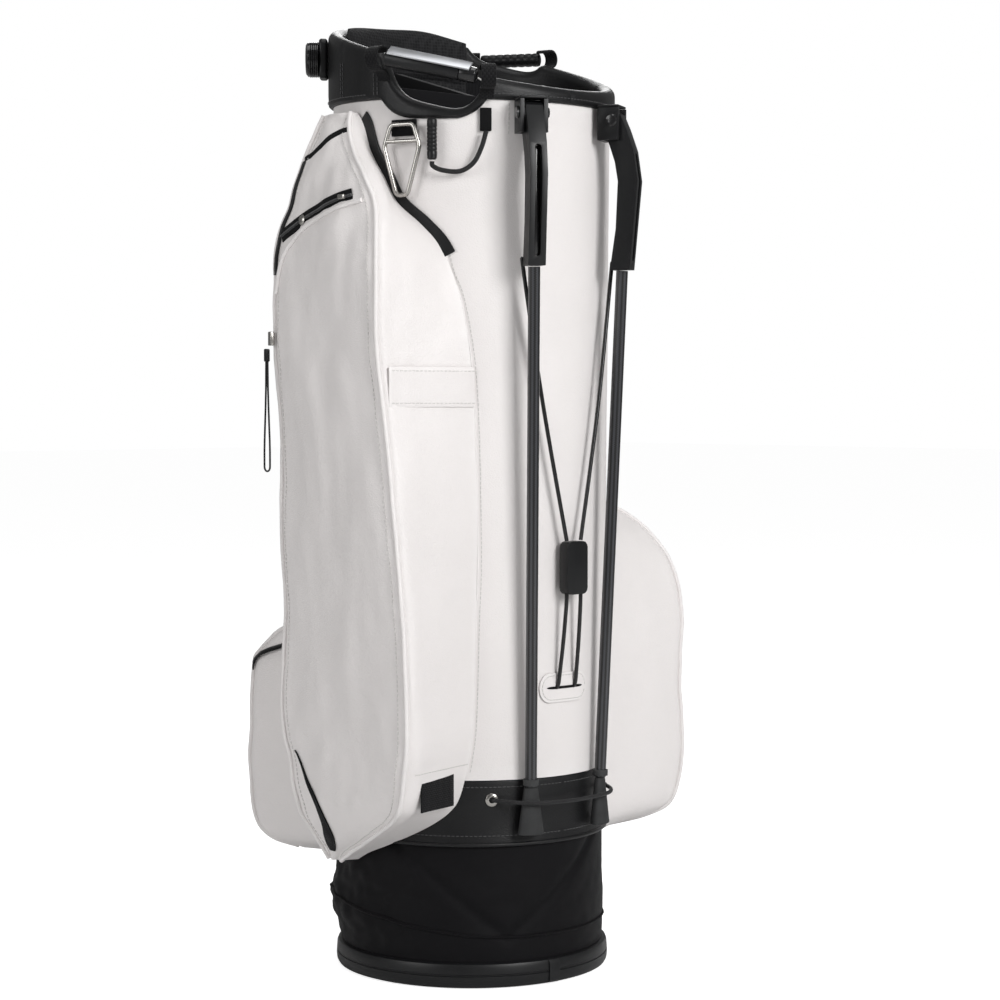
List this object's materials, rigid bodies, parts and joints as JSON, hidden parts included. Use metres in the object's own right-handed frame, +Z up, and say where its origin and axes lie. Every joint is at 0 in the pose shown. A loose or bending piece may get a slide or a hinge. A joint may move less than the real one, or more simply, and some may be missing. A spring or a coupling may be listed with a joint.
{
  "type": "golf stand bag",
  "caption": "Round golf stand bag with tilted collar, divided club wells, spring-out carbon legs worked by a hinged base, side and ball pockets, carrying handles and a towel ring.",
  "frame": {"origin": "on the ground under the tube's axis, at the middle of the base's flat underside", "axes": "+Z up along the tube, -Y towards the legs, +Y towards the spine and ball pocket, -X towards the tall side pocket"},
  "size_m": [0.4104, 0.3975, 0.9075],
  "materials": {
    "white_leather": "fine-grained white coated leather, satin",
    "black_leather": "smooth black coated leather, satin",
    "black_nylon": "woven black nylon",
    "lining_cloth": "brushed dark lining",
    "mesh_padding": "padded spacer mesh",
    "webbing": "ribbed black webbing",
    "cord_cover": "braided cord sheath",
    "moulded_black": "moulded black nylon, fine texture",
    "gloss_black": "smooth glossy black",
    "carbon_tube": "twill carbon under clear coat",
    "foot_rubber": "dark grey rubber",
    "brushed_metal": "brushed silver metal",
    "satin_nickel": "satin nickel plating",
    "coated_wire": "black coated spring wire",
    "frame_rod": "plain aluminium rod"
  },
  "bodies": {
    "bag": {"tube": "white_leather", "near_pocket": "white_leather", "valuables_pocket": "white_leather", "far_pocket": "white_leather", "ball_pocket": "white_leather", "slot_patch": "white_leather", "lower_band": "black_leather", "collar": "black_leather", "boot_skirt": "black_nylon", "crest_pad": "mesh_padding", "hip_pad": "mesh_padding", "divider_top": "lining_cloth", "divider_panel_front": "lining_cloth", "divider_panel_spine": "lining_cloth", "divider_panel_cross": "lining_cloth", "near_handle_bar": "moulded_black", "near_handle_grip": "gloss_black", "near_handle_plate": "brushed_metal", "far_handle_grip": "moulded_black", "near_handle_loop_back": "webbing", "near_handle_loop_front": "webbing", "far_handle_loop_front": "webbing", "far_handle_loop_back": "webbing", "frame_stay_left": "frame_rod", "frame_stay_right": "frame_rod", "base_hinge_pin": "frame_rod", "base_hinge_bracket": "moulded_black", "towel_webbing": "webbing", "umbrella_webbing": "webbing", "umbrella_toggle": "moulded_black", "umbrella_cord": "cord_cover", "eyelet_left": "satin_nickel", "eyelet_right": "satin_nickel", "retention_cord": "cord_cover", "strap_block_left": "moulded_black", "strap_block_right": "moulded_black", "leg_bracket_left": "moulded_black", "leg_pin_left": "frame_rod", "leg_bracket_right": "moulded_black", "leg_pin_right": "frame_rod"},
    "base": {"base_plate": "moulded_black"},
    "yoke": {"yoke": "moulded_black"},
    "rod_left": {"push_rod_left": "coated_wire"},
    "rod_right": {"push_rod_right": "coated_wire"},
    "leg_left": {"leg_shoulder_left": "moulded_black", "leg_tube_left": "carbon_tube", "leg_foot_left": "foot_rubber"},
    "leg_right": {"leg_shoulder_right": "moulded_black", "leg_tube_right": "carbon_tube", "leg_foot_right": "foot_rubber"},
    "towel_ring": {"towel_ring": "satin_nickel"},
    "swivel_left": {"strap_swivel_left": "gloss_black"},
    "swivel_right": {"strap_swivel_right": "gloss_black"},
    "near_slider": {"near_zip_slider": "satin_nickel"},
    "near_pull": {"near_zip_pull": "cord_cover"},
    "far_slider": {"far_zip_slider": "satin_nickel"},
    "far_pull": {"far_zip_pull": "cord_cover"},
    "ball_slider": {"ball_zip_slider": "satin_nickel"},
    "ball_pull": {"ball_zip_pull": "cord_cover"}
  },
  "joints": [
    {"name": "base_tilt", "type": "hinge", "parent": "bag", "child": "base", "pos_m": [0, -0.105, 0.031], "axis": [-1, 0, 0], "range_deg": [0, 24], "deforming": ["boot_skirt"]},
    {"name": "leg_left_swing", "type": "hinge", "parent": "bag", "child": "leg_left", "pos_m": [-0.05327, -0.14022, 0.8], "axis": [-0.8829, 0.4695, 0], "range_deg": [0, 33.5], "deforming": ["retention_cord"]},
    {"name": "leg_right_swing", "type": "hinge", "parent": "bag", "child": "leg_right", "pos_m": [0.05327, -0.14022, 0.8], "axis": [-0.8829, -0.4695, 0], "range_deg": [0, 33.5]},
    {"name": "yoke_slide", "type": "slide", "parent": "bag", "child": "yoke", "axis": [0, 0, 1], "range_m": [0, 0.0347]},
    {"name": "rod_left_swing", "type": "hinge", "parent": "yoke", "child": "rod_left", "pos_m": [-0.009, -0.14, 0.4116], "axis": [0.8509, -0.495, 0.176], "range_deg": [0, 16.6]},
    {"name": "rod_right_swing", "type": "hinge", "parent": "yoke", "child": "rod_right", "pos_m": [0.009, -0.14, 0.4116], "axis": [0.8509, 0.495, -0.176], "range_deg": [0, 16.6]},
    {"name": "towel_ring_swing", "type": "hinge", "parent": "bag", "child": "towel_ring", "pos_m": [-0.13117, -0.05035, 0.7905], "axis": [-0.4384, 0.8988, 0], "range_deg": [0, 60]},
    {"name": "strap_swivel_left_turn", "type": "hinge", "parent": "bag", "child": "swivel_left", "pos_m": [-0.11147, 0.10037, 0.866], "axis": [-0.7431, 0.6691, 0], "continuous": true},
    {"name": "strap_swivel_right_turn", "type": "hinge", "parent": "bag", "child": "swivel_right", "pos_m": [0.075, 0.1299, 0.866], "axis": [0.5, 0.866, 0], "continuous": true},
    {"name": "near_zip_travel", "type": "slide", "parent": "bag", "child": "near_slider", "axis": [0, 0, -1], "range_m": [-0.06, 0.05]},
    {"name": "near_pull_swing", "type": "hinge", "parent": "near_slider", "child": "near_pull", "pos_m": [-0.1916, 0.0724, 0.5906], "axis": [0, 1, 0], "range_deg": [0, 80]},
    {"name": "far_zip_travel", "type": "slide", "parent": "bag", "child": "far_slider", "axis": [0, 0, -1], "range_m": [-0.02, 0.08]},
    {"name": "far_pull_swing", "type": "hinge", "parent": "far_slider", "child": "far_pull", "pos_m": [0.2136, 0.0766, 0.2926], "axis": [0, -1, 0], "range_deg": [0, 80]},
    {"name": "ball_zip_travel", "type": "slide", "parent": "bag", "child": "ball_slider", "axis": [1, 0, 0], "range_m": [-0.06, 0.03]},
    {"name": "ball_pull_swing", "type": "hinge", "parent": "ball_slider", "child": "ball_pull", "pos_m": [0.03, 0.2296, 0.256], "axis": [1, 0, 0], "range_deg": [0, 80]}
  ],
  "couplings": [
    {"joint": "leg_left_swing", "follows": "base_tilt", "ratio": 1.3957},
    {"joint": "leg_right_swing", "follows": "base_tilt", "ratio": 1.3957},
    {"joint": "yoke_slide", "follows": "base_tilt", "m_per_rad": 0.08283},
    {"joint": "rod_left_swing", "follows": "base_tilt", "ratio": 0.69157},
    {"joint": "rod_right_swing", "follows": "base_tilt", "ratio": 0.69157}
  ]
}
